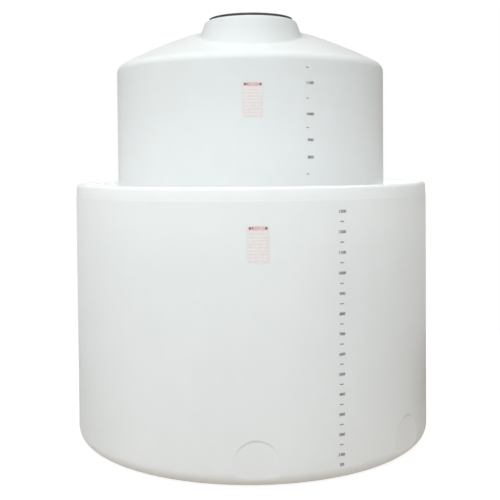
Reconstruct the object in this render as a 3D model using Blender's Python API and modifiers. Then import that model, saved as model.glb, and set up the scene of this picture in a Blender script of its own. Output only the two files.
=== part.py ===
"""Upright polyethylene storage tank standing in its own open-topped containment basin.

Metres, +Z up. The origin is at the centre of the basin's underside and the front is -Y.
Azimuths are in degrees, from the front round towards the right-hand side (+X)."""

from math import cos, radians, sin, sqrt, tan

import bmesh
import bpy
from mathutils import Matrix, Vector

# Clearances
SEAM = 0.0003           # between pieces that touch
WALL_SEAM_TURN = 0.00018    # half the seam between two wall segments, in radians
ROOF_SEAM_TURN = 0.0003     # half the seam between two roof segments, in radians
RUNNING = 0.005         # round the lid's plug

# Basin
BASIN_RADIUS = 1.080
BASIN_HEIGHT = 1.541
BASIN_WALL = 0.009
BASIN_KNUCKLE = 0.080   # outer radius of the rounded bottom edge
RIM_HEIGHT = 0.065
RIM_LEAN = 4.0          # degrees that the top band leans in
LIP_ROUND = 0.018       # outer radius of the lip at its top
LIP_CURL = 112.0        # where the lip ends, in degrees up from the outward horizontal

# Fitting flats low on the basin
FLAT_RADIUS = 0.125
FLAT_HEIGHT = 0.131     # height of the middle of the circle
FLAT_BACKING = 0.009
FLAT_BORDER = 0.008     # how far the backing reaches past the circle
FLAT_AZIMUTHS = (0.0, 52.0, 180.0, 232.0)
BACKING_INSET = 0.0005  # keeps the backing just under the outer skin

# Tank
TANK_RADIUS = 0.826
TANK_WALL = 0.008
TANK_KNUCKLE = 0.050
TANK_FLOOR = 0.010
WALL_TOP = 2.200        # where the roof pieces start
SHOULDER_Z = 2.226      # where the shoulder starts to round
SHOULDER_ROUND = 0.0375
PITCH_LOW = 28.0        # roof pitch in degrees at the shoulder
PITCH_HIGH = 19.7       # and where the crown begins
DOME_ROUND = 3.03
CROWN_ROUND = 0.377

# Manway, set forward of the tank's axis
MANWAY_OFFSET = 0.378
MANWAY_TOP = 2.482
MANWAY_LIP = 0.247      # radius of the flat top, where its edge starts to round
MANWAY_ROUND = 0.024
MANWAY_TAPER = 20.0     # degrees from the vertical
MANWAY_FOOT = 2.250     # the neck is cut off above this, at the roof's inner skin
UNDER_ROOF_FOOT = 2.150
BORE_RADIUS = 0.205
COLLAR_DEPTH = 0.030
COLLAR_WALL = 0.008

# Lid
LID_RADIUS = 0.242
LID_THICKNESS = 0.015
LID_EDGE = 0.003
LID_RIM_WIDTH = 0.022
LID_SINK = 0.005
PLUG_WALL = 0.010
PLUG_DEPTH = 0.025
VENT_RADIUS = 0.030
VENT_NECK_RADIUS = 0.020
VENT_HEIGHT = 0.026
VENT_NECK_HEIGHT = 0.010
VENT_EDGE = 0.004

# Faceting
SEGMENTS = ("front", "front_right", "right", "back_right", "back", "back_left", "left", "front_left")
ROUND_THE_MANWAY = ("tank_roof_front", "tank_roof_front_right", "tank_roof_front_left", "tank_crown")
SEGMENT_TURN = 360.0 / len(SEGMENTS)
SEGMENT_STEPS = 8
ROUND_STEPS = SEGMENT_STEPS * len(SEGMENTS)
SMALL_ROUND_STEPS = 48
KNUCKLE_STEPS = 4
SHOULDER_STEPS = 3
DOME_STEPS = 3
CROWN_STEPS = 2
EDGE_STEPS = 4
MERGE = 0.00001


def clear_scene():
    for old in list(bpy.data.objects):
        bpy.data.objects.remove(old, do_unlink=True)


def collection(name):
    made = bpy.data.collections.new(name)
    bpy.context.scene.collection.children.link(made)
    return made


def material(name, colour, roughness, metallic=0.0):
    made = bpy.data.materials.new(name)
    made.use_nodes = True
    shader = made.node_tree.nodes["Principled BSDF"]
    shader.inputs["Base Color"].default_value = (*colour, 1.0)
    shader.inputs["Roughness"].default_value = roughness
    shader.inputs["Metallic"].default_value = metallic
    return made


def arc(centre, radius, start, end, steps):
    """Points (r, z) round a circle; the angles rise from the outward horizontal."""
    turns = [radians(start + (end - start) * i / steps) for i in range(steps + 1)]
    return [(centre[0] + radius * cos(t), centre[1] + radius * sin(t)) for t in turns]


def heading(azimuth):
    """The level direction that an azimuth points in."""
    return Vector((sin(radians(azimuth)), -cos(radians(azimuth)), 0.0))


def add_object(name, bm, folder, finish):
    """Store the mesh in an object of this name."""
    mesh = bpy.data.meshes.new(name)
    bm.to_mesh(mesh)
    bm.free()
    mesh.materials.append(finish)
    made = bpy.data.objects.new(name, mesh)
    folder.objects.link(made)
    return made


def shade(made):
    made.data.shade_smooth()
    made.data.set_sharp_from_angle(angle=radians(30))


def sector(name, outline, azimuth, seam_turn, folder, finish):
    """Turn a closed outline through one segment's share of the circle."""
    bm = bmesh.new()
    start = Matrix.Rotation(radians(azimuth - SEGMENT_TURN / 2 - 90) + seam_turn, 3, "Z")
    end_face = bm.faces.new([bm.verts.new(start @ Vector((r, 0.0, z))) for r, z in outline])
    bmesh.ops.spin(
        bm, geom=[end_face], cent=(0, 0, 0), axis=(0, 0, 1),
        angle=radians(SEGMENT_TURN) - 2 * seam_turn, steps=SEGMENT_STEPS,
    )
    bmesh.ops.recalc_face_normals(bm, faces=bm.faces)
    made = add_object(name, bm, folder, finish)
    shade(made)
    return made


def turned(name, outline, steps, folder, finish, on_axis=False, location=(0, 0, 0)):
    """Turn an outline, which runs down its outer side, all the way round.

    It is closed on itself, or with on_axis it starts and ends on the axis."""
    bm = bmesh.new()
    points = [bm.verts.new((r, 0.0, z)) for r, z in outline]
    for first, second in zip(points, points[1:]):
        bm.edges.new((first, second))
    if not on_axis:
        bm.edges.new((points[-1], points[0]))
    made = add_object(name, bm, folder, finish)
    made.location = location
    screw = made.modifiers.new("turn", "SCREW")
    screw.steps = steps
    screw.render_steps = steps
    screw.use_smooth_shade = True
    screw.use_merge_vertices = True
    screw.merge_threshold = MERGE
    return made


def disc(name, radius, low, high, folder, finish):
    bm = bmesh.new()
    bmesh.ops.create_cone(
        bm, cap_ends=True, segments=ROUND_STEPS, radius1=radius, radius2=radius,
        depth=high - low, matrix=Matrix.Translation((0, 0, (low + high) / 2)),
    )
    return add_object(name, bm, folder, finish)


def level_cylinder(name, radius, near, far, azimuth, height, folder, finish):
    """A cylinder lying along an azimuth, from one distance off the axis to another."""
    along = heading(azimuth)
    middle = along * (near + far) / 2 + Vector((0, 0, height))
    turn = along.to_track_quat("Z", "Y").to_matrix().to_4x4()
    bm = bmesh.new()
    bmesh.ops.create_cone(
        bm, cap_ends=True, segments=SMALL_ROUND_STEPS, radius1=radius, radius2=radius,
        depth=far - near, matrix=Matrix.Translation(middle) @ turn,
    )
    return add_object(name, bm, folder, finish)


def helper(made):
    """Mark a cutter, which shapes other pieces and isn't one itself."""
    made.hide_render = True
    made.display_type = "WIRE"
    return made


def boolean(made, operation, other):
    change = made.modifiers.new(other.name, "BOOLEAN")
    change.operation = operation
    change.object = other


def wall_outline(radius, thickness, knuckle, foot, top):
    """Section of a wall that curls in at its foot, outer side first."""
    centre = (radius - knuckle, foot + knuckle)
    outer = [(radius, top)] + arc(centre, knuckle, 0, -90, KNUCKLE_STEPS)
    inner = arc(centre, knuckle - thickness, -90, 0, KNUCKLE_STEPS) + [(radius - thickness, top)]
    return outer + inner


def rim_outline():
    """Section of the basin's top band, which leans in and ends in a lip that curls over."""
    lean = radians(RIM_LEAN)
    foot = BASIN_HEIGHT - RIM_HEIGHT + SEAM
    lip_z = BASIN_HEIGHT - LIP_ROUND
    band_top = BASIN_RADIUS - (lip_z + LIP_ROUND * sin(lean) - foot) * tan(lean)
    centre = (band_top - LIP_ROUND * cos(lean), lip_z)
    inner = arc(centre, LIP_ROUND - BASIN_WALL, RIM_LEAN, LIP_CURL, EDGE_STEPS)
    outer = arc(centre, LIP_ROUND, LIP_CURL, 90, 1) + arc(centre, LIP_ROUND, 90, RIM_LEAN, EDGE_STEPS)[1:]
    return inner + outer + [(BASIN_RADIUS, foot), (BASIN_RADIUS - BASIN_WALL, foot)]


def slope_out(angle):
    """The direction in the (r, z) plane that rises at this angle from the outward horizontal."""
    return Vector((cos(radians(angle)), sin(radians(angle))))


def roof_outline(offset):
    """The three arcs of the roof, this far inside its outer skin, from the shoulder up."""
    low, high = 90 - PITCH_LOW, 90 - PITCH_HIGH
    shoulder_centre = Vector((TANK_RADIUS - SHOULDER_ROUND, SHOULDER_Z))
    dome_centre = shoulder_centre + (SHOULDER_ROUND - DOME_ROUND) * slope_out(low)
    crown_centre = dome_centre + (DOME_ROUND - CROWN_ROUND) * slope_out(high)
    shoulder = arc(shoulder_centre, SHOULDER_ROUND - offset, 0, low, SHOULDER_STEPS)
    dome = arc(dome_centre, DOME_ROUND - offset, low, high, DOME_STEPS)
    crown = arc(crown_centre, CROWN_ROUND - offset, high, 90, CROWN_STEPS)
    return shoulder, dome, crown


def roof_side_outline():
    """Section of the roof from the wall up to the crown, outer side first."""
    outer_shoulder, outer_dome, _ = roof_outline(0)
    inner_shoulder, inner_dome, _ = roof_outline(TANK_WALL)
    foot = WALL_TOP + SEAM
    outer = [(TANK_RADIUS, foot)] + outer_shoulder + outer_dome[1:]
    inner = [(TANK_RADIUS - TANK_WALL, foot)] + inner_shoulder + inner_dome[1:]
    return outer[::-1] + inner


def crown_outline():
    """Section of the flattened top of the roof, from the axis out and back."""
    upper = roof_outline(0)[2][::-1]
    lower = roof_outline(TANK_WALL)[2]
    # Its edge stands off the roof's upper edge, square to it.
    inward = SEAM * slope_out(180 - PITCH_HIGH)
    upper[-1] = (upper[-1][0] + inward.x, upper[-1][1] + inward.y)
    lower[0] = (lower[0][0] + inward.x, lower[0][1] + inward.y)
    return [(0.0, upper[0][1])] + upper + lower + [(0.0, lower[-1][1])]


def under_roof_outline():
    """Section of the space under the roof, which the neck doesn't reach into."""
    shoulder, dome, crown = roof_outline(TANK_WALL)
    inside = (shoulder + dome[1:] + crown[1:])[::-1]
    return [(0.0, inside[0][1])] + inside + [(inside[-1][0], UNDER_ROOF_FOOT), (0.0, UNDER_ROOF_FOOT)]


def manway_side(offset):
    """The neck's side, this far outside its outer skin, from its top edge down."""
    centre = (MANWAY_LIP, MANWAY_TOP - MANWAY_ROUND)
    edge = arc(centre, MANWAY_ROUND + offset, 90, MANWAY_TAPER, EDGE_STEPS)
    r, z = edge[-1]
    return edge + [(r + (z - MANWAY_FOOT) * tan(radians(MANWAY_TAPER)), MANWAY_FOOT)]


def manway_outline():
    """Section of the neck: the tapered side, the flat top and the collar round the bore."""
    outer = manway_side(0)
    inner = manway_side(-TANK_WALL)[::-1]
    collar_foot = MANWAY_TOP - COLLAR_DEPTH
    outside_collar = BORE_RADIUS + COLLAR_WALL
    collar = [
        (outside_collar, MANWAY_TOP - TANK_WALL),
        (outside_collar, collar_foot),
        (BORE_RADIUS, collar_foot),
        (BORE_RADIUS, MANWAY_TOP),
    ]
    return outer + inner + collar


def manway_hole_outline():
    """Section of the hole that the neck passes through, solid to its axis."""
    side = manway_side(SEAM)
    return [(0.0, side[0][1])] + side + [(0.0, MANWAY_FOOT)]


def lid_outline():
    """Section of the lid: a sunk top inside a raised rim, and the plug underneath."""
    low = MANWAY_TOP + SEAM
    high = low + LID_THICKNESS
    edge_centre = (LID_RADIUS - LID_EDGE, high - LID_EDGE)
    plug = BORE_RADIUS - RUNNING
    plug_foot = MANWAY_TOP - PLUG_DEPTH
    rim_inside = LID_RADIUS - LID_RIM_WIDTH
    return [
        (0.0, high - LID_SINK),
        (rim_inside - LID_SINK, high - LID_SINK),
        (rim_inside, high),
        *arc(edge_centre, LID_EDGE, 90, 0, 2),
        (LID_RADIUS, low),
        (plug, low),
        (plug, plug_foot),
        (plug - PLUG_WALL, plug_foot),
        (plug - PLUG_WALL, low),
        (0.0, low),
    ]


def vent_outline():
    """Section of the breather cap on the lid's middle."""
    low = MANWAY_TOP + 2 * SEAM + LID_THICKNESS - LID_SINK
    high = low + VENT_HEIGHT
    skirt = low + VENT_NECK_HEIGHT
    edge_centre = (VENT_RADIUS - VENT_EDGE, high - VENT_EDGE)
    return [
        (0.0, high),
        *arc(edge_centre, VENT_EDGE, 90, 0, 3),
        (VENT_RADIUS, skirt),
        (VENT_NECK_RADIUS, skirt),
        (VENT_NECK_RADIUS, low),
        (0.0, low),
    ]


def add_flat(wall, azimuth, envelope, cutters, finish):
    """Press a round, flat fitting face into the wall, with backing behind it."""
    plane = sqrt(BASIN_RADIUS ** 2 - FLAT_RADIUS ** 2)
    backing = helper(level_cylinder(
        f"flat_backing_{azimuth:.0f}", FLAT_RADIUS + FLAT_BORDER, plane - FLAT_BACKING,
        BASIN_RADIUS + FLAT_BORDER, azimuth, FLAT_HEIGHT, cutters, finish))
    boolean(backing, "INTERSECT", envelope)
    press = helper(level_cylinder(
        f"flat_press_{azimuth:.0f}", FLAT_RADIUS, plane, BASIN_RADIUS + FLAT_BORDER,
        azimuth, FLAT_HEIGHT, cutters, finish))
    boolean(wall, "UNION", backing)
    boolean(wall, "DIFFERENCE", press)


def backing_limit_outline(top):
    """Section of all that lies just inside the basin's outer skin, solid to its axis."""
    centre = (BASIN_RADIUS - BASIN_KNUCKLE, BASIN_KNUCKLE)
    knuckle = arc(centre, BASIN_KNUCKLE - BACKING_INSET, 0, -90, KNUCKLE_STEPS)
    return [(0.0, top), (BASIN_RADIUS - BACKING_INSET, top)] + knuckle + [(0.0, BACKING_INSET)]


def add_basin(folder, cutters, finish):
    disc("basin_floor", BASIN_RADIUS - BASIN_KNUCKLE - SEAM, 0.0, BASIN_WALL, folder, finish)
    wall_top = BASIN_HEIGHT - RIM_HEIGHT
    outline = wall_outline(BASIN_RADIUS, BASIN_WALL, BASIN_KNUCKLE, 0.0, wall_top)
    walls = []
    for index, side in enumerate(SEGMENTS):
        azimuth = index * SEGMENT_TURN
        walls.append(sector(f"basin_wall_{side}", outline, azimuth, WALL_SEAM_TURN, folder, finish))
    turned("basin_rim", rim_outline(), ROUND_STEPS, folder, finish)
    envelope = helper(turned(
        "backing_limit", backing_limit_outline(wall_top), ROUND_STEPS, cutters, finish, on_axis=True))
    for azimuth in FLAT_AZIMUTHS:
        wall = walls[round(azimuth / SEGMENT_TURN) % len(SEGMENTS)]
        add_flat(wall, azimuth, envelope, cutters, finish)


def add_tank(folder, cutters, finish):
    foot = BASIN_WALL + SEAM
    disc("tank_floor", TANK_RADIUS - TANK_KNUCKLE - SEAM, foot, foot + TANK_FLOOR, folder, finish)
    outline = wall_outline(TANK_RADIUS, TANK_WALL, TANK_KNUCKLE, foot, WALL_TOP)
    pieces = []
    for index, side in enumerate(SEGMENTS):
        azimuth = index * SEGMENT_TURN
        sector(f"tank_wall_{side}", outline, azimuth, WALL_SEAM_TURN, folder, finish)
        pieces.append(sector(
            f"tank_roof_{side}", roof_side_outline(), azimuth, ROOF_SEAM_TURN, folder, finish))
    pieces.append(turned("tank_crown", crown_outline(), ROUND_STEPS, folder, finish, on_axis=True))
    place = (0.0, -MANWAY_OFFSET, 0.0)
    hole = helper(turned(
        "manway_hole", manway_hole_outline(), SMALL_ROUND_STEPS, cutters, finish, True, place))
    for piece in pieces:
        if piece.name in ROUND_THE_MANWAY:
            boolean(piece, "DIFFERENCE", hole)
    neck = turned("manway_neck", manway_outline(), SMALL_ROUND_STEPS, folder, finish, False, place)
    under = helper(turned(
        "under_roof", under_roof_outline(), ROUND_STEPS, cutters, finish, on_axis=True))
    boolean(neck, "DIFFERENCE", under)


def add_lid(folder, finish):
    place = (0.0, -MANWAY_OFFSET, 0.0)
    turned("lid", lid_outline(), SMALL_ROUND_STEPS, folder, finish, True, place)
    turned("lid_vent", vent_outline(), SMALL_ROUND_STEPS // 2, folder, finish, True, place)


def main():
    clear_scene()
    parts = collection("storage_tank")
    cutters = collection("cutters")
    basin_white = material("basin_white", (0.80, 0.83, 0.81), 0.42)
    tank_white = material("tank_white", (0.82, 0.85, 0.83), 0.42)
    lid_black = material("lid_black", (0.02, 0.02, 0.022), 0.5)
    add_basin(parts, cutters, basin_white)
    add_tank(parts, cutters, tank_white)
    add_lid(parts, lid_black)


main()
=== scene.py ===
"""Looks of a white polyethylene storage tank standing in its own open-topped containment basin.

Metres, +Z up. The origin is at the centre of the basin's underside and the front is -Y.
Azimuths are in degrees, from the front round towards the right-hand side (+X)."""

from math import cos, degrees, pi, radians, sin, tan

import bmesh
import bpy
import numpy as np
from mathutils import Matrix, Vector


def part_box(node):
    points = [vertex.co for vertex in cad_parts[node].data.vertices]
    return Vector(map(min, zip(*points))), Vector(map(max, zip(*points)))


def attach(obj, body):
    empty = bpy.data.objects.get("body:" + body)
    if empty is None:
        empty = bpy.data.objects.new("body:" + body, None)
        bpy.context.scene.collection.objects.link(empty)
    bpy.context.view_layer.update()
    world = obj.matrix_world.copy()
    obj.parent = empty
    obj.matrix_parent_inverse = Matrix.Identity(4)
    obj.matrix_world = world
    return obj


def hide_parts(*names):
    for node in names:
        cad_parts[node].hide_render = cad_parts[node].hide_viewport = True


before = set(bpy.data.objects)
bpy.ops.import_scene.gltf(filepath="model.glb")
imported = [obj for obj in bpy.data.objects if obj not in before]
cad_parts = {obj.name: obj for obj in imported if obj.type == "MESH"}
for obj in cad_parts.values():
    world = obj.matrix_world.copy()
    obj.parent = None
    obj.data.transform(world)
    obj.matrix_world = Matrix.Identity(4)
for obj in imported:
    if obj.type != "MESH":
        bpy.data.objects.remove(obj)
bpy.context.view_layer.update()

# Basin, read from the frame where it shows there
BASIN_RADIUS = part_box("basin_rim")[1].x
BASIN_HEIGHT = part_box("basin_rim")[1].z
BAND_DROP = 0.007           # how far the crease lies under the band's own foot
RIM_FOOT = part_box("basin_rim")[0].z - BAND_DROP
BASIN_WALL = 0.009
BASIN_KNUCKLE = 0.080       # radius of the rounded bottom edge
RIM_LEAN = 4.0              # degrees that the top band leans in
CREASE_ROUND = 0.012        # radius of the bend under the band, on the inside
LIP_ROUND = 0.018           # radius of the lip's outer side
LIP_CURL = 112.0            # degrees that the lip turns through
LIP_EDGE = 0.0015           # how far the lip's cut edge is taken off at its corners
LIP_CUT = LIP_CURL + 4      # angle at which the wall's edge is cut off
FLOOR_RADII = (0.3, 0.7)    # rings of points on the flat floor
FLAT_ZONE = (0.11, 0.29)    # heights between which the wall's rows lie closer together
WALL_ZONE_FOOT = 0.35       # where the wider ones start
WALL_ZONE_GAP = 0.02        # how far under the band they end

# The slight ledge at the band's foot: heights above it, and depths in from the wall
LEDGE = ((-0.0080, 0.0), (-0.0030, 0.0001), (0.0, 0.0004), (0.0025, 0.0010), (0.0050, 0.0017),
         (0.0080, 0.0022))

# Fitting flats pressed into the basin
FLAT_RADIUS = 0.121
FLAT_HEIGHT = 0.122         # of the middle of the circle
FLAT_PLANE = 1.07274        # distance of the flats from the basin's axis
FLAT_AZIMUTHS = (0, 52, 180, 232)
FLAT_DRAFT = 57.0           # slope of the pressed edge, in degrees off the flat's axis
FLAT_BLEND = 0.002          # how far the blends reach at the edge's top and foot, and more low down
FLAT_BLEND_LOW = 0.006
# Rings of points round a flat's middle, closest together over its pressed edge
FLAT_RINGS = (0.1425, 0.1395, 0.1370, 0.1350, 0.1335, 0.1320, 0.1305, 0.1290, 0.1275, 0.1260, 0.1245, 0.1230,
              0.1218, 0.1206, 0.1194, 0.1180, 0.1160, 0.1130, 0.1100, 0.1060, 0.1020, 0.0980, 0.0940, 0.0900,
              0.0860, 0.0820, 0.0780, 0.0730, 0.0660)
FLAT_LOW = 0.045            # under this height the rings are packed closer, to stay on the wall
FLAT_PACKING = 0.37
WINDOW_SHARES = (0.8, 0.6, 0.4, 0.2)    # rings between the window's edge and the widest round one
WINDOW_ROWS = (8, 26)       # rows of the basin's outer skin between which a flat's rings take over
WINDOW_HALF = 11            # columns that they take over, either side of the flat's middle

# Tank
TANK_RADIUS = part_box("tank_wall_right")[1].x
TANK_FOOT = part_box("tank_wall_right")[0].z
TANK_WALL = 0.008
TANK_KNUCKLE = 0.050        # radius of the rounded bottom edge
TANK_FLOOR_RADII = (0.5, 0.2)
SHOULDER_Z = 2.21486        # height at which the wall starts to round over
SHOULDER_ROUND = 0.056
PITCH_LOW = 27.786          # the roof's pitch in degrees at the shoulder
PITCH_HIGH = 19.7           # and where the crown begins
DOME_ROUND = 3.03           # radius of the roof's slight dome
CROWN_ROUND = 0.377         # radius of the bend into the flat top

# Manway neck, about its own axis
MANWAY_Y = (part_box("lid")[0].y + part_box("lid")[1].y) / 2
MANWAY_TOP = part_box("manway_neck")[1].z
MANWAY_LIP = 0.247          # radius of the flat top
MANWAY_ROUND = 0.024
MANWAY_TAPER = 20.0         # degrees from the vertical
MANWAY_FILLET = 0.011       # length of the blend into the roof, each way from the corner
MANWAY_FILLET_SHARE = 0.45  # the most that the blend takes of the neck's side
MANWAY_RING = 0.226         # radius of a ring of points on the flat top
NECK_LONGEST = 0.4          # more than any length along the neck's side
BORE_RADIUS = 0.205
BORE_EDGE = 0.0015
COLLAR_DEPTH = 0.030
COLLAR_WALL = 0.008

# Lid and its breather
LID_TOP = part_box("lid")[1].z
LID_RADIUS = (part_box("lid")[1].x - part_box("lid")[0].x) / 2
LID_THICKNESS = 0.015
LID_LOW = LID_TOP - LID_THICKNESS
LID_SUNK = LID_TOP - 0.007  # top of the sunk part
LID_EDGE = 0.003
PLUG_RADIUS = 0.200
PLUG_WALL = 0.010
PLUG_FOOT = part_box("lid")[0].z
VENT_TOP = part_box("lid_vent")[1].z
VENT_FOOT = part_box("lid_vent")[0].z
VENT_RADIUS = (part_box("lid_vent")[1].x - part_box("lid_vent")[0].x) / 2

# Fineness of the meshes
BASIN_COLUMNS = 360         # one each degree, so that each flat's middle has one
COLUMNS = 256
BASIN_ROWS = {"knuckle": 14, "flats": 10, "wall": 12, "lip": 12, "lip inside": 8, "bend": 2,
              "knuckle inside": 10}
TANK_ROWS = {"neck": 22, "blend": 8, "roof": 30, "shoulder": 10, "wall": 12, "knuckle": 8}
LID_GRIPS = 72
LID_COLUMNS = LID_GRIPS * 8
VENT_COLUMNS = 96
WELD = 0.000002             # points of print that lie closer than this are joined
CAP_WELD = 0.00002          # the same for the ends of the lid's thread

# Print on the walls
INK_GAP = 0.00015
INK_THICKNESS = 0.00015
DIGIT_HEIGHT = 0.0160
NUMBER_WIDTHS = {2: 0.024, 3: 0.0356, 4: 0.042}     # by how many digits there are
TICK_SIZE = (0.022, 0.0045)
TANK_TICK_WIDTH = 0.012
LABEL_WIDTH = 0.105
TANK_LABEL = (0.0, 1.906, 2.092)        # azimuth, foot and top
BASIN_LABEL = (0.9, 1.158, 1.343)

# Camera
FRAME_PIXELS = 500
FOCAL_PIXELS = 843.2
PRINCIPAL_PIXEL = (251.6, 185.9)
SENSOR_WIDTH = 36.0
CAMERA_PLACE = (-0.0889, -5.3213, 1.6634)
CAMERA_TURN = 1.0           # degrees to the right of straight ahead
CAMERA_PITCH = 1.576        # degrees down
CAMERA_ROLL = 0.464

# Studio: the key light, the surround's brightest direction and its two end colours, and the floor
KEY_POWER = 0.5
KEY_COLOUR = (0.98, 1.0, 1.0)
KEY_ANGLE = 60              # degrees across, for soft shadows
KEY_AZIMUTH = -18
KEY_RISE = 1.25             # how far up the key's direction goes for one metre out
SURROUND_AZIMUTH = -23
SURROUND_OUT = 0.90
SURROUND_RISE = 1.38
SURROUND_DARK = (0.225, 0.19, 0.155)
SURROUND_LIGHT = (1.61, 1.645, 1.655)
FLOOR_RADIUS = 40.0
FLOOR_DROP = 0.0005         # how far it lies under the object

# Lamps between the two walls: how far they lie from the axis and above the floor, size and power
GAP_LAMPS = 24
GAP_LAMP_OUT = 0.945
GAP_LAMP_HEIGHT = 1.37
GAP_LAMP_SIZE = 0.05
GAP_LAMP_POWER = 0.12
LIP_LAMP_AZIMUTHS = (80, 93, 106, 119, 132)
LIP_LAMP_OUT = 0.88
LIP_LAMP_HEIGHT = 1.42
LIP_LAMP_RISE = 0.4         # how far up their light goes for one metre out
LIP_LAMP_SIZE = 0.12
LIP_LAMP_POWER_LEFT = 0.16
LIP_LAMP_POWER_RIGHT = 0.22


# Shapes

def arc(centre, radius, start, end, steps):
    """Points (r, z) round a circle; the angles rise from the outward horizontal."""
    angles = [radians(start + (end - start) * i / steps) for i in range(steps + 1)]
    return [(centre[0] + radius * cos(t), centre[1] + radius * sin(t)) for t in angles]


def heading(azimuth):
    """The level direction that an azimuth points in."""
    return Vector((sin(radians(azimuth)), -cos(radians(azimuth)), 0.0))


def up(height):
    """A vector straight up."""
    return Vector((0.0, 0.0, height))


def turns(columns):
    """Azimuths in radians of a ring's points."""
    return np.linspace(0.0, 2 * pi, columns, endpoint=False)


def ring(radius, height, columns, centre_y=0.0):
    """One level row of points; the radius may differ from column to column."""
    t = turns(columns)
    r = np.broadcast_to(np.asarray(radius, float), columns)
    return np.stack([r * np.sin(t), centre_y - r * np.cos(t), np.full(columns, height)], 1)


def link_object(name, mesh):
    made = bpy.data.objects.new(name, mesh)
    bpy.context.scene.collection.objects.link(made)
    return made


def skin(name, rows, first_pole, last_pole):
    """A closed skin through rows of points, ended by a point at each pole."""
    columns = len(rows[0])
    points = np.concatenate([*rows, [first_pole], [last_pole]])
    here = np.arange(columns)
    there = np.roll(here, -1)
    faces = []
    for row in range(len(rows) - 1):
        low = row * columns
        high = low + columns
        faces += np.stack([low + here, low + there, high + there, high + here], 1).tolist()
    first = len(points) - 2
    start = (len(rows) - 1) * columns
    faces += [(first, b, a) for a, b in zip(here.tolist(), there.tolist())]
    faces += [(first + 1, start + a, start + b) for a, b in zip(here.tolist(), there.tolist())]
    mesh = bpy.data.meshes.new(name)
    mesh.from_pydata(points.tolist(), [], faces)
    tidy_normals(mesh)
    return link_object(name, mesh)


def tidy_normals(mesh, weld=0.0):
    """Turn the faces outwards, once points that lie within the weld distance are joined."""
    bm = bmesh.new()
    bm.from_mesh(mesh)
    if weld:
        bmesh.ops.remove_doubles(bm, verts=bm.verts, dist=weld)
    bmesh.ops.recalc_face_normals(bm, faces=bm.faces)
    bm.to_mesh(mesh)
    bm.free()


def smooth(made, angle=30.0):
    """Shade an object smooth, but for edges at which the faces turn by more than the angle."""
    made.data.shade_smooth()
    made.data.set_sharp_from_angle(angle=radians(angle))
    return made


def turned(name, outline, columns, centre_y=0.0):
    """Turn a section, from the axis at one end to the axis at the other."""
    rows = [ring(r, z, columns, centre_y) for r, z in outline[1:-1]]
    first = (0.0, centre_y, outline[0][1])
    last = (0.0, centre_y, outline[-1][1])
    return skin(name, rows, first, last)


def as_shown(made):
    """The mesh that an object's modifiers, or its curve, make of it."""
    shown = made.evaluated_get(bpy.context.evaluated_depsgraph_get())
    return bpy.data.meshes.new_from_object(shown)


def mesh_of(name, curve):
    """The mesh that a curve or a text makes; the name is for an object that is removed again."""
    source = link_object(name, curve)
    mesh = as_shown(source)
    bpy.data.objects.remove(source)
    return mesh


# Basin

def basin_outline():
    """Section of the basin, from the middle of its underside out, over the lip and back inside."""
    lean = tan(radians(RIM_LEAN))
    knuckle = (BASIN_RADIUS - BASIN_KNUCKLE, BASIN_KNUCKLE)
    lip_z = BASIN_HEIGHT - LIP_ROUND
    band_top = BASIN_RADIUS - (lip_z + LIP_ROUND * sin(radians(RIM_LEAN)) - RIM_FOOT) * lean
    lip = (band_top - LIP_ROUND * cos(radians(RIM_LEAN)), lip_z)
    bend = (BASIN_RADIUS - CREASE_ROUND, RIM_FOOT - CREASE_ROUND * tan(radians(RIM_LEAN / 2)))
    heights = [*np.linspace(*FLAT_ZONE, BASIN_ROWS["flats"])]
    heights += [*np.linspace(WALL_ZONE_FOOT, RIM_FOOT - WALL_ZONE_GAP, BASIN_ROWS["wall"])]
    outside = [(r, 0.0) for r in (0.0, *FLOOR_RADII)]
    outside += arc(knuckle, BASIN_KNUCKLE, -90, 0, BASIN_ROWS["knuckle"])
    outside += [(BASIN_RADIUS, z) for z in heights]
    outside += [(BASIN_RADIUS - depth, RIM_FOOT + rise) for rise, depth in LEDGE]
    outside += arc(lip, LIP_ROUND, RIM_LEAN, LIP_CURL, BASIN_ROWS["lip"])
    cut_out = slope_point(lip, LIP_ROUND - LIP_EDGE, LIP_CUT)
    cut_in = slope_point(lip, LIP_ROUND - BASIN_WALL + LIP_EDGE, LIP_CUT)
    inside = arc(lip, LIP_ROUND - BASIN_WALL, LIP_CURL, RIM_LEAN, BASIN_ROWS["lip inside"])
    inside += arc(bend, CREASE_ROUND - BASIN_WALL, RIM_LEAN, 0, BASIN_ROWS["bend"])
    inside += [(BASIN_RADIUS - BASIN_WALL, z) for z in heights[::-1]]
    inside += arc(knuckle, BASIN_KNUCKLE - BASIN_WALL, 0, -90, BASIN_ROWS["knuckle inside"])
    inside += [(r, BASIN_WALL) for r in (*FLOOR_RADII[::-1], 0.0)]
    return outside + [cut_out, cut_in] + inside


def slope_point(centre, radius, angle):
    """One point of a circle, at this angle."""
    return arc(centre, radius, angle, angle, 1)[0]


def soft_min(first, second, reach):
    """The lower of two heights, rounded off where they cross."""
    near = np.clip(reach - np.abs(first - second), 0.0, None) / reach
    return np.minimum(first, second) - near ** 2 * reach / 4


def pressed(across, height, depth=0.0):
    """How far out along a flat's axis the wall stands, with the flat pressed in.

    The depth is 0 for the outer skin and the wall's thickness for the inner one."""
    knuckle = BASIN_KNUCKLE - depth
    drop = np.clip(BASIN_KNUCKLE - height, 0.0, knuckle)
    r = BASIN_RADIUS - BASIN_KNUCKLE + np.sqrt(knuckle ** 2 - drop ** 2)
    plane = FLAT_PLANE - depth
    wall = np.sqrt(r ** 2 - across ** 2) - plane
    off = np.hypot(across, height - FLAT_HEIGHT) - FLAT_RADIUS - depth / 2
    low = np.clip((FLAT_HEIGHT - height) / FLAT_RADIUS, 0.0, 1.0)
    reach = FLAT_BLEND + (FLAT_BLEND_LOW - FLAT_BLEND) * low
    side = -soft_min(-off / tan(radians(FLAT_DRAFT)), 0.0, reach)
    return plane + soft_min(wall, side, reach)


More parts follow.
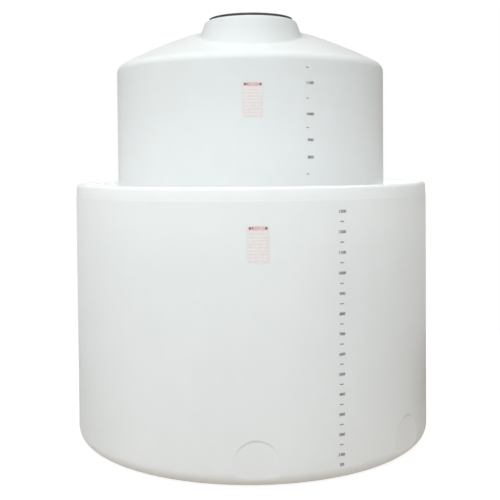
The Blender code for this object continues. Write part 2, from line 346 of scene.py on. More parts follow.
def axes_of(azimuth):
    """A flat's own directions: outwards, and across it to the right seen from outside."""
    return heading(azimuth), heading(azimuth + 90)


def press_inside(rows):
    """Set the basin's inner skin back behind the flats, so that its wall keeps its thickness."""
    for azimuth in FLAT_AZIMUTHS:
        along, across = (np.array(axis) for axis in axes_of(azimuth))
        for row in rows:
            x, y, z = row @ across, row @ along, row[:, 2]
            near = (y > BASIN_RADIUS - 2 * BASIN_KNUCKLE) & (np.hypot(x, z - FLAT_HEIGHT) < FLAT_RINGS[0])
            row[near] += np.outer(pressed(x[near], z[near], BASIN_WALL) - y[near], along)


def window_edge(azimuth):
    """Rows and columns round the window in the outer skin that a flat's rings fill."""
    low, high = WINDOW_ROWS
    left = azimuth - WINDOW_HALF
    right = azimuth + WINDOW_HALF
    way = [(low, column) for column in range(left, right)]
    way += [(row, right) for row in range(low, high)]
    way += [(high, column) for column in range(right, left, -1)]
    return way + [(row, left) for row in range(high, low, -1)]


def packed(point):
    """A ring's point, moved up where it would pass under the basin."""
    short = max(FLAT_LOW - FLAT_HEIGHT - point.y, 0.0)
    return Vector((point.x, point.y + short * (1 - FLAT_PACKING)))


def press_flat(bm, edge, azimuth):
    """Fill a window's edge with rings of faces that have the round flat pressed in."""
    along, across = axes_of(azimuth)
    step = 2 * pi / len(edge)
    turn = [step * (i - WINDOW_HALF) - pi / 2 for i in range(len(edge))]
    circle = [Vector((cos(t), sin(t))) for t in turn]
    ends = [Vector((v.co.dot(across), v.co.z - FLAT_HEIGHT)) for v in edge]
    rings = [[packed(c * radius) for c in circle] for radius in FLAT_RINGS]
    square = [[c.lerp(o, share) for c, o in zip(rings[0], ends)] for share in WINDOW_SHARES]
    outer = edge
    for points in square + rings:
        inner = []
        for point in points:
            height = point.y + FLAT_HEIGHT
            out = float(pressed(point.x, height))
            inner.append(bm.verts.new(across * point.x + along * out + up(height)))
        for i in range(len(edge)):
            bm.faces.new((outer[i - 1], outer[i], inner[i], inner[i - 1]))
        outer = inner
    bm.faces.new(outer)


def add_basin(finish):
    """The basin as one skin, in which a window at each flat is filled with rings of faces."""
    outline = basin_outline()
    rows = [ring(r, z, BASIN_COLUMNS) for r, z in outline[1:-1]]
    inner = rows[len(rows) // 2:]
    press_inside([row for row in inner if row[0, 2] < 2 * FLAT_HEIGHT])
    basin = skin("basin", rows, (0, 0, outline[0][1]), (0, 0, outline[-1][1]))
    bm = bmesh.new()
    bm.from_mesh(basin.data)
    bm.verts.ensure_lookup_table()
    bm.faces.ensure_lookup_table()
    edges = [[bm.verts[row * BASIN_COLUMNS + column % BASIN_COLUMNS] for row, column in window_edge(azimuth)]
             for azimuth in FLAT_AZIMUTHS]
    opened = [bm.faces[row * BASIN_COLUMNS + column % BASIN_COLUMNS]
              for azimuth in FLAT_AZIMUTHS
              for row in range(*WINDOW_ROWS)
              for column in range(azimuth - WINDOW_HALF, azimuth + WINDOW_HALF)]
    bmesh.ops.delete(bm, geom=opened, context="FACES")
    for edge, azimuth in zip(edges, FLAT_AZIMUTHS):
        press_flat(bm, edge, azimuth)
    bmesh.ops.recalc_face_normals(bm, faces=bm.faces)
    bm.to_mesh(basin.data)
    bm.free()
    basin.data.materials.append(finish)
    smooth(basin)
    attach(basin, "vessels")
    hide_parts(*[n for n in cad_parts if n.startswith("basin_")])


# Tank

def slope_out(angle):
    """The direction in the (r, z) plane that rises at this angle from the outward horizontal."""
    return np.array([cos(radians(angle)), sin(radians(angle))])


ROOF_LOW = 90 - PITCH_LOW
ROOF_HIGH = 90 - PITCH_HIGH
SHOULDER_CENTRE = np.array([TANK_RADIUS - SHOULDER_ROUND, SHOULDER_Z])
DOME_CENTRE = SHOULDER_CENTRE + (SHOULDER_ROUND - DOME_ROUND) * slope_out(ROOF_LOW)
CROWN_CENTRE = DOME_CENTRE + (DOME_ROUND - CROWN_ROUND) * slope_out(ROOF_HIGH)
SHOULDER_EDGE = (SHOULDER_CENTRE + SHOULDER_ROUND * slope_out(ROOF_LOW))[0]
CROWN_EDGE = (CROWN_CENTRE + CROWN_ROUND * slope_out(ROOF_HIGH))[0]


def roof_height(r):
    """Height of the roof's outer skin above the floor, this far from the tank's axis."""
    dome = DOME_CENTRE[1] + np.sqrt(DOME_ROUND ** 2 - (r - DOME_CENTRE[0]) ** 2)
    out = np.clip(r - CROWN_CENTRE[0], 0.0, CROWN_ROUND)
    crown = CROWN_CENTRE[1] + np.sqrt(CROWN_ROUND ** 2 - out ** 2)
    return np.where(r > CROWN_EDGE, dome, crown)


def on_roof(points):
    """Lift points (x, y) to the roof."""
    return np.column_stack([points, roof_height(np.hypot(points[:, 0], points[:, 1]))])


def neck_side(length):
    """Radius and height on the neck, this far along its side from the start of the round edge."""
    edge = MANWAY_ROUND * radians(90 - MANWAY_TAPER)
    turn = np.minimum(length, edge) / MANWAY_ROUND
    past = np.maximum(length - edge, 0.0)
    r = MANWAY_LIP + MANWAY_ROUND * np.sin(turn) + past * sin(radians(MANWAY_TAPER))
    z = MANWAY_TOP - MANWAY_ROUND * (1 - np.cos(turn)) - past * cos(radians(MANWAY_TAPER))
    return r, z


def neck_point(length, directions):
    """Points on the neck at a length along its side for each column."""
    r, z = neck_side(length)
    return np.column_stack([r[:, None] * directions + (0.0, MANWAY_Y), z])


def neck_foot(directions):
    """Length along the neck's side at which each column meets the roof, found by halving."""
    halvings = 40
    low = np.zeros(len(directions))
    high = np.full(len(directions), NECK_LONGEST)
    for _ in range(halvings):
        middle = (low + high) / 2
        point = neck_point(middle, directions)
        above = point[:, 2] > roof_height(np.hypot(point[:, 0], point[:, 1]))
        low = np.where(above, middle, low)
        high = np.where(above, high, middle)
    return low


def tank_outside():
    """Rows of the tank's outer skin, from the neck's flat top down to the underside."""
    t = turns(COLUMNS)
    directions = np.stack([np.sin(t), -np.cos(t)], 1)
    foot = neck_foot(directions)
    blend = np.minimum(MANWAY_FILLET, MANWAY_FILLET_SHARE * foot)
    rows = [ring(r, MANWAY_TOP, COLUMNS, MANWAY_Y) for r in (BORE_RADIUS + BORE_EDGE, MANWAY_RING)]
    for share in np.linspace(0.0, 1.0, TANK_ROWS["neck"]):
        rows.append(neck_point((foot - blend) * share, directions))
    corner = neck_point(foot, directions)
    start = rows[-1]
    out = corner[:, :2] + directions * blend[:, None]
    end = on_roof(out)
    for u in np.linspace(0.0, 1.0, TANK_ROWS["blend"])[1:]:
        rows.append((1 - u) ** 2 * start + 2 * u * (1 - u) * corner + u ** 2 * end)
    shoulder = directions * SHOULDER_EDGE
    for share in np.linspace(0.0, 1.0, TANK_ROWS["roof"])[1:]:
        rows.append(on_roof(out + (shoulder - out) * share))
    section = arc(SHOULDER_CENTRE, SHOULDER_ROUND, ROOF_LOW, 0, TANK_ROWS["shoulder"])[1:]
    wall = np.linspace(SHOULDER_Z, TANK_FOOT + TANK_KNUCKLE, TANK_ROWS["wall"])
    section += [(TANK_RADIUS, z) for z in wall[1:-1]]
    knuckle = (TANK_RADIUS - TANK_KNUCKLE, TANK_FOOT + TANK_KNUCKLE)
    section += arc(knuckle, TANK_KNUCKLE, 0, -90, TANK_ROWS["knuckle"])
    section += [(r, TANK_FOOT) for r in TANK_FLOOR_RADII]
    return rows + [ring(r, z, COLUMNS) for r, z in section]


def inset(rows, depth):
    """The rows set in by a depth, square to the skin that they make."""
    grid = np.array(rows)
    along = np.roll(grid, -1, 1) - np.roll(grid, 1, 1)
    down = np.gradient(grid, axis=0)
    normal = np.cross(along, down)
    normal /= np.linalg.norm(normal, axis=2, keepdims=True)
    return grid + depth * normal


def add_tank(finish):
    """The tank as one skin: the inside, the collar round the bore, and the outside."""
    outside = tank_outside()
    inner = inset(outside, TANK_WALL)
    # The neck's flat top turns down inside as a collar round the bore.
    collar_out = BORE_RADIUS + COLLAR_WALL
    under = MANWAY_TOP - TANK_WALL
    collar_foot = MANWAY_TOP - COLLAR_DEPTH
    collar = [
        (collar_out, under), (collar_out, collar_foot + BORE_EDGE), (collar_out - BORE_EDGE, collar_foot),
        (BORE_RADIUS + BORE_EDGE, collar_foot), (BORE_RADIUS, collar_foot + BORE_EDGE),
        (BORE_RADIUS, MANWAY_TOP - BORE_EDGE),
    ]
    rows = list(inner[:0:-1]) + [ring(r, z, COLUMNS, MANWAY_Y) for r, z in collar] + outside
    floor_top = TANK_FOOT + TANK_WALL
    tank = skin("tank", rows, (0, 0, floor_top), (0, 0, TANK_FOOT))
    tank.data.materials.append(finish)
    smooth(tank)
    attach(tank, "vessels")
    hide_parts("manway_neck", *[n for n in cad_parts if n.startswith("tank_")])


# Lid

def lid_outline():
    """Section of the lid from the middle of its top, over the rim and down to its underside."""
    top = [
        (0.0, LID_TOP - 0.005), (0.040, LID_TOP - 0.005), (0.0425, LID_TOP - 0.0055), (0.045, LID_SUNK),
        (0.120, LID_SUNK), (0.196, LID_SUNK), (0.199, LID_SUNK + 0.001), (0.204, LID_TOP - 0.001),
        (0.2065, LID_TOP), (0.222, LID_TOP), (LID_RADIUS - LID_EDGE, LID_TOP),
    ]
    edge = arc((LID_RADIUS - LID_EDGE, LID_TOP - LID_EDGE), LID_EDGE, 75, 0, 5)
    edge += [(LID_RADIUS, LID_LOW + 0.007), (LID_RADIUS, LID_LOW + 0.001), (LID_RADIUS - 0.001, LID_LOW)]
    inside = PLUG_RADIUS - PLUG_WALL
    plug = [
        (PLUG_RADIUS, LID_LOW), (PLUG_RADIUS, PLUG_FOOT + 0.002), (PLUG_RADIUS - 0.002, PLUG_FOOT),
        (inside + 0.001, PLUG_FOOT), (inside, PLUG_FOOT + 0.001), (inside, LID_LOW), (0.1, LID_LOW),
        (0.0, LID_LOW),
    ]
    return top + edge + plug


def add_lid(finish):
    """The lid's disc, with finger grips round its edge."""
    grip_depth = 0.0022
    grip_reach = 1.2 * LID_EDGE     # how far in from the edge they are cut
    outline = lid_outline()
    groove = (0.5 - 0.5 * np.cos(turns(LID_COLUMNS) * LID_GRIPS)) ** 3
    rows = []
    for r, z in outline[1:-1]:
        on_edge = r > LID_RADIUS - grip_reach
        rows.append(ring(r - grip_depth * groove * on_edge, z, LID_COLUMNS, MANWAY_Y))
    lid = skin("lid_disc", rows, (0, MANWAY_Y, outline[0][1]), (0, MANWAY_Y, outline[-1][1]))
    lid.data.materials.append(finish)
    smooth(lid, 40)
    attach(lid, "lid")
    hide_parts("lid")


def bar(bm, size, place, turn=0.0):
    """A box on the lid, turned about the vertical; its place is in the lid's own frame."""
    made = bmesh.ops.create_cube(bm, size=1.0)["verts"]
    move = Matrix.Rotation(radians(turn), 4, "Z") @ Matrix.Translation(place) @ Matrix.Diagonal((*size, 1.0))
    bmesh.ops.transform(bm, matrix=Matrix.Translation((0, MANWAY_Y, 0)) @ move, verts=made)


def add_lid_ribs(finish):
    """Radial stiffening ribs in the lid's sunk top, and four lugs to turn it by."""
    rib_count = 16
    rib = (0.150, 0.0045, 0.006)
    rib_start = 0.047
    rib_middle = LID_SUNK + 0.001
    lug_count = 4
    lug = (0.016, 0.060, 0.012)
    lug_out = 0.168
    lug_top = LID_TOP - 0.0005
    rounding = 0.0012
    bm = bmesh.new()
    for i in range(rib_count):
        bar(bm, rib, (rib_start + rib[0] / 2, 0, rib_middle), 360 / rib_count * (i + 0.5))
    for i in range(lug_count):
        bar(bm, lug, (lug_out, 0, lug_top - lug[2] / 2), 360 / lug_count * i)
    made = finish_bars("lid_ribs", bm, rounding, finish)
    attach(made, "lid")


def finish_bars(name, bm, rounding, finish):
    """Store boxes as one piece with rounded edges."""
    mesh = bpy.data.meshes.new(name)
    bm.to_mesh(mesh)
    bm.free()
    made = link_object(name, mesh)
    bevel = made.modifiers.new("round", "BEVEL")
    bevel.width = rounding
    bevel.segments = 3
    mesh = as_shown(made)
    made.modifiers.clear()
    made.data = mesh
    mesh.materials.append(finish)
    return smooth(made, 50)


def add_thread(finish):
    """The screw thread round the lid's plug."""
    thread_turns = 1.6
    pitch = 0.0075
    foot = PLUG_FOOT + 0.0045
    tip = 0.1               # share of its full size at which the thread ends
    runout = 12             # it grows to full size within about a thirteenth of its length
    steps = 160
    curve = bpy.data.curves.new("lid_thread", "CURVE")
    curve.dimensions = "3D"
    curve.bevel_depth = 0.0024
    curve.bevel_resolution = 3
    curve.use_fill_caps = True
    line = curve.splines.new("POLY")
    line.points.add(steps - 1)
    for i, point in enumerate(line.points):
        share = i / (steps - 1)
        t = share * thread_turns * 2 * pi
        z = foot + pitch * thread_turns * share
        point.co = (PLUG_RADIUS * sin(t), MANWAY_Y - PLUG_RADIUS * cos(t), z, 1.0)
        point.radius = min(1.0, tip + runout * min(share, 1 - share))
    mesh = mesh_of("lid_thread_curve", curve)
    tidy_normals(mesh, CAP_WELD)
    made = link_object("lid_thread", mesh)
    made.data.materials.append(finish)
    smooth(made, 60)
    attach(made, "lid")


def add_vent(finish):
    """The breather: a low mushroom cap over a slotted neck."""
    cap_foot = VENT_FOOT + 0.010
    rounding = 0.006
    fin_count = 12
    fin = (0.005, 0.0022, 0.012)
    fin_rounding = 0.0004
    fin_out = 0.018
    fin_middle = VENT_FOOT + 0.007
    outline = [(0.0, VENT_TOP), (0.012, VENT_TOP)]
    outline += arc((VENT_RADIUS - rounding, VENT_TOP - rounding), rounding, 90, 0, 6)
    outline += [
        (VENT_RADIUS, cap_foot + 0.001), (VENT_RADIUS - 0.001, cap_foot), (VENT_RADIUS - 0.003, cap_foot),
        (VENT_RADIUS - 0.004, cap_foot + 0.003), (0.016, cap_foot + 0.003), (0.016, VENT_FOOT + 0.002),
        (0.022, VENT_FOOT + 0.002), (0.0235, VENT_FOOT), (0.0, VENT_FOOT),
    ]
    vent = turned("vent_cap", outline, VENT_COLUMNS, MANWAY_Y)
    vent.data.materials.append(finish)
    smooth(vent, 40)
    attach(vent, "lid")
    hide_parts("lid_vent")
    bm = bmesh.new()
    for i in range(fin_count):
        bar(bm, fin, (fin_out, 0, fin_middle), 360 / fin_count * i)
    fins = finish_bars("vent_fins", bm, fin_rounding, finish)
    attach(fins, "lid")


# Marks on the walls

class Marks:
    """Thin flat shapes wrapped on a vessel's wall and joined as one piece."""

    def __init__(self, radius):
        self.radius = radius
        self.points = []
        self.faces = []
        self.inks = []

    def wrap(self, mesh, azimuth, height, ink=0, lift=0.0):
        """Lay a mesh on the wall: x runs along it, y up it, and z from 0 to 1 through the ink."""
        first = len(self.points)
        for v in mesh.vertices:
            turn = radians(azimuth) + v.co.x / self.radius
            r = self.radius + INK_GAP + lift + INK_THICKNESS * v.co.z
            self.points.append((r * sin(turn), -r * cos(turn), height + v.co.y))
        for face in mesh.polygons:
            self.faces.append([first + i for i in face.vertices])
            self.inks.append(ink)

    def piece(self, name, finishes):
        """Make all that has been wrapped into one piece; ink numbers pick from the finishes."""
        mesh = bpy.data.meshes.new(name)
        mesh.from_pydata(self.points, [], self.faces)
        mesh.polygons.foreach_set("material_index", self.inks)
        tidy_normals(mesh, WELD)
        for finish in finishes:
            mesh.materials.append(finish)
        made = link_object(name, mesh)
        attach(made, "vessels")


def plate(width, height, steps=6):
    """A flat box with its foot at the ink's back, split across so that it can bend."""
    bm = bmesh.new()
    bmesh.ops.create_cube(bm, size=1.0)
    uprights = [e for e in bm.edges if abs(e.verts[0].co.x - e.verts[1].co.x) > 0.5]
    bmesh.ops.subdivide_edges(bm, edges=uprights, cuts=steps, use_grid_fill=True)
    for v in bm.verts:
        v.co = (v.co.x * width, v.co.y * height, v.co.z + 0.5)
    mesh = bpy.data.meshes.new("plate")
    bm.to_mesh(mesh)
    bm.free()
    return mesh


def number(text):
    """The raised digits of a number, centred on x = 0 and y = 0."""
    curve = bpy.data.curves.new("number", "FONT")
    curve.body = text
    curve.resolution_u = 3
    curve.extrude = 0.5
    curve.offset = 0.026    # thickens the strokes
    mesh = mesh_of("number", curve)
    places = np.array([v.co for v in mesh.vertices])
    low, high = places.min(0), places.max(0)
    width = NUMBER_WIDTHS[len(text)]
    for v in mesh.vertices:
        x = ((v.co.x - low[0]) / (high[0] - low[0]) - 0.5) * width
        y = ((v.co.y - low[1]) / (high[1] - low[1]) - 0.5) * DIGIT_HEIGHT
        v.co = (x, y, v.co.z + 0.5)
    return mesh


def add_basin_scale(ink):
    """Numbers every 100 gallons up the basin, and a tick between each two.

    The print leans a little and sags below its upper end."""
    number_azimuth = 24.33
    tick_azimuth = 24.19
    lean = 0.48             # degrees for each metre up
    zero_height = 0.0445
    height_per_gallon = 0.0010495
    sag = 0.0072
    sag_start = 1250        # gallons
    sag_full = 900
    marks = Marks(BASIN_RADIUS)
    tick = plate(*TICK_SIZE)
    for gallons in range(50, 1301, 50):
        sunk = min(1.0, max(0.0, (sag_start - gallons) / (sag_start - sag_full)))
        height = zero_height + gallons * height_per_gallon - sag * sunk
        if gallons % 100 and gallons > 50:
            marks.wrap(tick, tick_azimuth + lean * height, height)
        else:
            marks.wrap(number(str(gallons)), number_azimuth + lean * height, height)
    marks.piece("basin_scale", [ink])


def add_tank_scale(ink):
    """The tank's own numbers and ticks, which go on down behind the basin's wall."""
    number_azimuth = 22.15
    tick_azimuth = 21.0
    shown = ((1150, 2.175), (1100, 2.092), (1050, 2.009), (1000, 1.924), (950, 1.851), (900, 1.784),
             (850, 1.691), (800, 1.600))
    ticked = (1150, 1050, 950, 800)
    step = 0.0875           # between marks lower down
    marks = Marks(TANK_RADIUS)
    tick = plate(TANK_TICK_WIDTH, TICK_SIZE[1])
    last_gallons, last_height = shown[-1]
    lower = [(gallons, last_height - (last_gallons - gallons) / 50 * step) for gallons in range(750, 50, -50)]
    for gallons, height in (*shown, *lower):
        is_tick = gallons in ticked if gallons >= last_gallons else gallons % 100
        if is_tick:
            marks.wrap(tick, tick_azimuth, height)
        else:
            marks.wrap(number(str(gallons)), number_azimuth, height)
    marks.piece("tank_scale", [ink])


def add_label(name, radius, place, finishes):
    """A blank record label: a faded band with dark blocks across its head, and ruled lines to write on."""
    azimuth, foot, top = place
    margin = 0.004
    band = 0.0185
    blocks = ((-0.0424, 0.0120), (-0.0282, 0.0042), (0.0410, 0.0102))   # places along the band, and widths
    block_height = 0.0102
    block_rise = 0.0008     # above the band's middle
    rule = 0.0012
    rule_count = 9
    lift = INK_THICKNESS
    bends = 12              # places at which a part as wide as the label bends round the wall
    marks = Marks(radius)
    height = top - foot
    marks.wrap(plate(LABEL_WIDTH, height, bends), azimuth, (foot + top) / 2)
    inner = LABEL_WIDTH - 2 * margin
    band_middle = top - margin / 2 - band / 2
    marks.wrap(plate(inner, band, bends), azimuth, band_middle, 1, lift)
    for along, block in blocks:
        shape = plate(block, block_height, 2)
        marks.wrap(shape, azimuth + degrees(along / radius), band_middle + block_rise, 3, 2 * lift)
    line = plate(inner, rule, bends)
    spacing = (height - band - 3 * margin) / rule_count
    for i in range(1, rule_count + 1):
        marks.wrap(line, azimuth, top - band - margin - i * spacing, 2, lift)
    marks.piece(name, finishes)


# Finishes

class Nodes:
    """A material's node tree with short ways to add to it."""

    def __init__(self, name):
        self.material = bpy.data.materials.new(name)
        self.material.use_nodes = True
        self.tree = self.material.node_tree
        self.shader = self.tree.nodes["Principled BSDF"]

    def add(self, kind, inputs=None, **settings):
        made = self.tree.nodes.new(kind)
        for key, value in settings.items():
            setattr(made, key, value)
        for key, value in (inputs or {}).items():
            self.put(made.inputs[key], value)
        return made

    def put(self, socket, value):
        """Link an output to a socket, or set its value."""
        if isinstance(value, bpy.types.NodeSocket):
            self.tree.links.new(value, socket)
        else:
            socket.default_value = value

    def noise(self, place, scale, detail=3.0, roughness=0.5):
        inputs = {"Vector": place, "Scale": scale, "Detail": detail, "Roughness": roughness}
        return self.add("ShaderNodeTexNoise", inputs).outputs["Fac"]

    def stretch(self, place, scale):
        return self.add("ShaderNodeMapping", {"Vector": place, "Scale": scale}).outputs[0]

    def span(self, value, low, high, to_low=0.0, to_high=1.0):
        inputs = {"Value": value, "From Min": low, "From Max": high, "To Min": to_low, "To Max": to_high}
        return self.add("ShaderNodeMapRange", inputs).outputs[0]

    def maths(self, operation, first, second):
        made = self.add("ShaderNodeMath", operation=operation)
        self.put(made.inputs[0], first)
        self.put(made.inputs[1], second)
        return made.outputs[0]

    def mix(self, share, first, second):
        made = self.add("ShaderNodeMix", data_type="RGBA")
        self.put(made.inputs["Factor"], share)
        self.put(made.inputs["A"], first)
        self.put(made.inputs["B"], second)
        return made.outputs["Result"]

    def along(self, place, azimuth):
        """How far a place lies out in the direction of an azimuth."""
        inputs = {0: place, 1: heading(azimuth)}
        return self.add("ShaderNodeVectorMath", inputs, operation="DOT_PRODUCT").outputs["Value"]

    def bump(self, height, distance, strength=1.0, normal=None):
        inputs = {"Height": height, "Distance": distance, "Strength": strength}
        if normal is not None:
            inputs["Normal"] = normal
        return self.add("ShaderNodeBump", inputs).outputs[0]

    def dress(self, **values):
        for key, value in values.items():
            self.put(self.shader.inputs[key.replace("_", " ")], value)


def colour(r, g, b):
    return (r, g, b, 1.0)


def tank_whiteness(n, place, height):
    """Painted light and shade on the tank: its colour grows lighter lower down, towards the basin's rim, and
    darker in the neck.
    """
    axis = n.stretch(place, (1.0, 1.0, 0.0))
    off = n.add("ShaderNodeVectorMath", {0: axis, 1: (0.0, MANWAY_Y, 0.0)}, operation="DISTANCE")
    neck_out, neck_in = 0.325, 0.285        # distances from the manway's axis
    light_start_height, light_full_height = 2.17, 1.50
    # Painted shade darkens the neck, and painted light lightens the wall lower down.
    neck = n.span(off.outputs["Value"], neck_out, neck_in, 1.0, 0.92)
    return n.maths("MULTIPLY", n.span(height, light_start_height, light_full_height, 1.0, 1.20), neck)


def basin_whiteness(n, place, height):
    """The basin's wall is a little greyer low down, and painted light makes its band lighter, more so towards
    the lip.
    """
    grey_height, white_height = 0.10, 1.30
    crease = 0.006          # height over which the band's painted light sets in
    wall = n.span(height, grey_height, white_height, 0.96, 1.0)
    # Painted light on the band, rising from its foot towards the lip.
    band = n.span(height, RIM_FOOT, BASIN_HEIGHT - LIP_ROUND, -0.015, 0.055)
    band = n.maths("MULTIPLY", band, n.span(height, RIM_FOOT - crease, RIM_FOOT))
    return n.maths("ADD", wall, band)


def polyethylene(name, light, dark, painted_light_and_tone, dust_and_shade_top, depth):
    """Natural white moulded polyethylene: soft mottling, flow streaks, fine skin grain, and dust with painted
    shade low down; a given function paints light and shade into its colour.

    The depth is how far light passes into the unpigmented wall."""
    n = Nodes(name)
    place = n.add("ShaderNodeTexCoord").outputs["Object"]
    height = n.add("ShaderNodeSeparateXYZ", {0: place}).outputs["Z"]
    cloud = n.noise(place, 1.7, 4.0)
    blotch = n.noise(place, 9.0, 5.0, 0.6)
    streak = n.noise(n.stretch(place, (7.0, 7.0, 0.6)), 1.0, 3.0)
    grain = n.noise(place, 320.0, 2.0)
    swirl = n.noise(place, 28.0, 3.0)
    tone = n.maths("ADD", n.maths("MULTIPLY", cloud, 0.5), n.maths("MULTIPLY", blotch, 0.28))
    tone = n.maths("ADD", tone, n.maths("MULTIPLY", streak, 0.22))
    body = n.mix(n.span(tone, 0.36, 0.64), colour(*dark), colour(*light))
    # Painted light and shade: the colour is scaled by the vessel's own function.
    shaded = {0: body, "Scale": painted_light_and_tone(n, place, height)}
    body = n.add("ShaderNodeVectorMath", shaded, operation="SCALE").outputs[0]
    # Dust and painted shade: the colour is browned and darkened towards the floor.
    dust = n.maths("MULTIPLY", n.span(height, dust_and_shade_top, 0.0, 0.0, 0.4), n.span(blotch, 0.25, 0.7, 0.4, 1.0))
    body = n.mix(dust, body, colour(0.60, 0.55, 0.49))
    rough = n.span(n.maths("ADD", n.maths("MULTIPLY", swirl, 0.6), n.maths("MULTIPLY", cloud, 0.4)),
                   0.35, 0.65, 0.36, 0.46)
    skin_bump = n.bump(swirl, 0.0012, 0.35)
    skin_bump = n.bump(grain, 0.00025, 0.5, skin_bump)
    n.dress(Base_Color=body, Roughness=rough, Normal=skin_bump)
    n.dress(Subsurface_Weight=1.0, Subsurface_Radius=(1.0, 0.95, 0.9), Subsurface_Scale=depth)
    return n.material


def black_plastic(name):
    """Black moulded plastic with a fine grain and a little dust."""
    n = Nodes(name)
    place = n.add("ShaderNodeTexCoord").outputs["Object"]
    cloud = n.noise(place, 14.0, 5.0, 0.6)
    grain = n.noise(place, 900.0, 2.0)
    body = n.mix(n.span(cloud, 0.42, 0.75), colour(0.026, 0.026, 0.027), colour(0.073, 0.072, 0.068))
    rough = n.span(cloud, 0.3, 0.7, 0.42, 0.6)
    n.dress(Base_Color=body, Roughness=rough, Normal=n.bump(grain, 0.0002, 0.4))
    return n.material


def faded_print(name, strong, weak, wear_scale=160.0, roughness=(0.5, 0.65)):
    """Printed colour that has worn unevenly."""
    n = Nodes(name)
    place = n.add("ShaderNodeTexCoord").outputs["Object"]
    wear = n.noise(place, wear_scale, 4.0, 0.65)
    body = n.mix(n.span(wear, 0.38, 0.68), colour(*strong), colour(*weak))
    rough = n.span(wear, 0.3, 0.7, *roughness)
    n.dress(Base_Color=body, Roughness=rough, Normal=n.bump(wear, 0.0001, 0.3))
    return n.material


# Studio

def add_floor():
    """A pale floor, seen as white with a soft shadow under the object, that also lights it from below."""
    bm = bmesh.new()
    bmesh.ops.create_circle(bm, cap_ends=True, segments=96, radius=FLOOR_RADIUS)
    mesh = bpy.data.meshes.new("floor")
    bm.to_mesh(mesh)
    bm.free()
    floor = link_object("floor", mesh)
    floor.location.z = -FLOOR_DROP
    n = Nodes("floor_white")
    place = n.add("ShaderNodeTexCoord").outputs["Object"]
    far = n.add("ShaderNodeVectorMath", {0: place}, operation="LENGTH").outputs["Value"]
    n.dress(Base_Color=colour(0.3, 0.3, 0.3), Roughness=0.9)
    # As it is seen: soft shadows near the object, and plain white farther off.
    glow = n.add("ShaderNodeEmission", {"Color": colour(1, 1, 1), "Strength": 0.78}).outputs[0]
    seen = n.add("ShaderNodeAddShader", {0: n.shader.outputs[0], 1: glow}).outputs[0]
    white = n.add("ShaderNodeEmission", {"Color": colour(1, 1, 1), "Strength": 1.0}).outputs[0]
    seen = n.add("ShaderNodeMixShader", {0: n.span(far, 2.0, 4.0), 1: seen, 2: white}).outputs[0]
    # As it lights the object: warmer close by, and weaker to the left and behind on the right.
    tint = n.mix(n.span(far, 1.1, 2.4), colour(1.0, 0.90, 0.80), colour(1.0, 1.0, 1.0))
    near = n.span(far, 4.5, 2.5)
    left = n.span(n.along(place, -105), 0.6, 1.6)
    right = n.span(n.along(place, 112), 0.6, 1.8)
    tint = n.mix(n.maths("MULTIPLY", left, near), tint, colour(0.62, 0.60, 0.58))
    tint = n.mix(n.maths("MULTIPLY", right, near), tint, colour(0.26, 0.16, 0.10))
    strength = n.span(far, 1.02, 1.6, 0.58, 0.69)
    bounce = n.add("ShaderNodeEmission", {"Color": tint, "Strength": strength}).outputs[0]
    camera_ray = n.add("ShaderNodeLightPath").outputs["Is Camera Ray"]
    shown = n.add("ShaderNodeMixShader", {0: camera_ray, 1: bounce, 2: seen}).outputs[0]
    n.put(n.tree.nodes["Material Output"].inputs["Surface"], shown)
    mesh.materials.append(n.material)


def add_light():
    """One wide soft key from above the front left, and a surround that is brightest on that side."""
    key = bpy.data.lights.new("key", "SUN")
    key.energy = KEY_POWER
    key.angle = radians(KEY_ANGLE)
    key.color = KEY_COLOUR
    lamp = link_object("key", key)
    lamp.rotation_euler = (heading(KEY_AZIMUTH) + up(KEY_RISE)).to_track_quat("Z", "Y").to_euler()
    world = bpy.data.worlds.new("surround")
    world.use_nodes = True
    bpy.context.scene.world = world
    tree = world.node_tree
    lit = tree.nodes["Background"]
    side = tree.nodes.new("ShaderNodeVectorMath")
    side.operation = "DOT_PRODUCT"
    side.inputs[1].default_value = (SURROUND_OUT * heading(SURROUND_AZIMUTH) + up(SURROUND_RISE)).normalized()
    tree.links.new(tree.nodes.new("ShaderNodeTexCoord").outputs["Generated"], side.inputs[0])
    share = tree.nodes.new("ShaderNodeMapRange")
    tint = tree.nodes.new("ShaderNodeMix")
    tint.data_type = "RGBA"
    tint.inputs["A"].default_value = colour(*SURROUND_DARK)
    tint.inputs["B"].default_value = colour(*SURROUND_LIGHT)
    tree.links.new(side.outputs["Value"], share.inputs["Value"])
    tree.links.new(share.outputs[0], tint.inputs["Factor"])
    tree.links.new(tint.outputs["Result"], lit.inputs["Color"])
    seen = tree.nodes.new("ShaderNodeBackground")
    seen.inputs["Color"].default_value = colour(1, 1, 1)
    path = tree.nodes.new("ShaderNodeLightPath")
    mix = tree.nodes.new("ShaderNodeMixShader")
    tree.links.new(path.outputs["Is Camera Ray"], mix.inputs[0])
    tree.links.new(lit.outputs[0], mix.inputs[1])
    tree.links.new(seen.outputs[0], mix.inputs[2])
    tree.links.new(mix.outputs[0], tree.nodes["World Output"].inputs["Surface"])
    bpy.context.scene.view_settings.view_transform = "Standard"


def add_lamp(name, data, place):
    """A lamp that lights the plastic, but isn't seen or mirrored."""
    lamp = link_object(name, data)
    lamp.location = place
    lamp.visible_camera = False
    lamp.visible_glossy = False
    return lamp


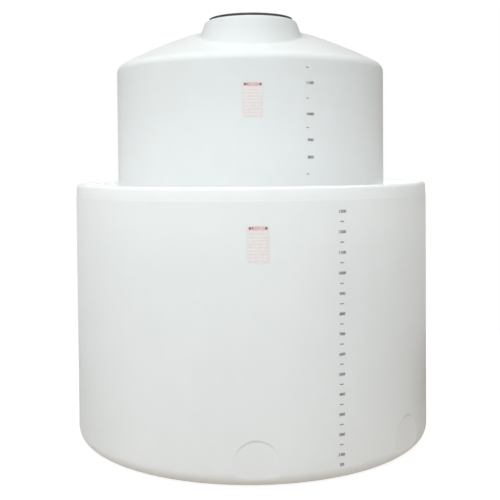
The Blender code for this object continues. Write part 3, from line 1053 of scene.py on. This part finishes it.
def add_gap_lamps():
    """Small lamps in the gap and under the basin's far lip.

    They stand for the daylight that comes through the real walls."""
    for i in range(GAP_LAMPS):
        glow = bpy.data.lights.new("gap", "POINT")
        glow.energy = GAP_LAMP_POWER
        glow.shadow_soft_size = GAP_LAMP_SIZE
        add_lamp("gap", glow, heading(360 / GAP_LAMPS * i) * GAP_LAMP_OUT + up(GAP_LAMP_HEIGHT))
    for azimuth in (*(-a for a in LIP_LAMP_AZIMUTHS[::-1]), *LIP_LAMP_AZIMUTHS):
        glow = bpy.data.lights.new("lip", "AREA")
        glow.shape = "DISK"
        glow.size = LIP_LAMP_SIZE
        glow.energy = LIP_LAMP_POWER_LEFT if azimuth < 0 else LIP_LAMP_POWER_RIGHT
        lamp = add_lamp("lip", glow, heading(azimuth) * LIP_LAMP_OUT + up(LIP_LAMP_HEIGHT))
        # The light goes out and a little up, against the lamp's own Z axis.
        lamp.rotation_euler = (-heading(azimuth) - up(LIP_LAMP_RISE)).to_track_quat("Z", "Y").to_euler()


def add_camera():
    """The photograph's own view; the camera's axis meets the frame a little off its middle."""
    data = bpy.data.cameras.new("camera")
    data.sensor_width = SENSOR_WIDTH
    data.lens = SENSOR_WIDTH * FOCAL_PIXELS / FRAME_PIXELS
    data.shift_x = 0.5 - PRINCIPAL_PIXEL[0] / FRAME_PIXELS
    data.shift_y = PRINCIPAL_PIXEL[1] / FRAME_PIXELS - 0.5
    camera = link_object("camera", data)
    turn = Matrix.Rotation(radians(-CAMERA_TURN), 4, "Z")
    pitch = Matrix.Rotation(radians(90 - CAMERA_PITCH), 4, "X")
    roll = Matrix.Rotation(radians(-CAMERA_ROLL), 4, "Z")
    camera.matrix_world = Matrix.Translation(CAMERA_PLACE) @ turn @ pitch @ roll
    bpy.context.scene.camera = camera


def main():
    # Both finishes have painted light and shade in their colour, and dust with painted shade at the foot.
    basin_white = polyethylene("basin_white", (0.774, 0.795, 0.792), (0.749, 0.771, 0.768), basin_whiteness,
                               dust_and_shade_top=0.045, depth=0.014)
    tank_white = polyethylene("tank_white", (0.755, 0.785, 0.785), (0.73, 0.76, 0.755), tank_whiteness,
                              dust_and_shade_top=0.04, depth=0.010)
    lid_black = black_plastic("lid_black")
    ink = faded_print("scale_ink", (0.10, 0.105, 0.10), (0.25, 0.26, 0.25))
    label_wear = {"wear_scale": 60.0, "roughness": (0.3, 0.4)}
    film = faded_print("label_film", (0.77, 0.73, 0.715), (0.80, 0.77, 0.755), **label_wear)
    band = faded_print("label_band", (0.66, 0.42, 0.43), (0.79, 0.58, 0.59), **label_wear)
    rules = faded_print("label_rules", (0.55, 0.42, 0.42), (0.68, 0.58, 0.58), **label_wear)
    blocks = faded_print("label_blocks", (0.17, 0.075, 0.08), (0.26, 0.14, 0.14), **label_wear)
    add_basin(basin_white)
    add_tank(tank_white)
    add_lid(lid_black)
    add_lid_ribs(lid_black)
    add_thread(lid_black)
    add_vent(lid_black)
    add_basin_scale(ink)
    add_tank_scale(ink)
    label = (film, band, rules, blocks)
    add_label("tank_label", TANK_RADIUS, TANK_LABEL, label)
    add_label("basin_label", BASIN_RADIUS, BASIN_LABEL, label)
    add_floor()
    add_light()
    add_gap_lamps()
    add_camera()


main()
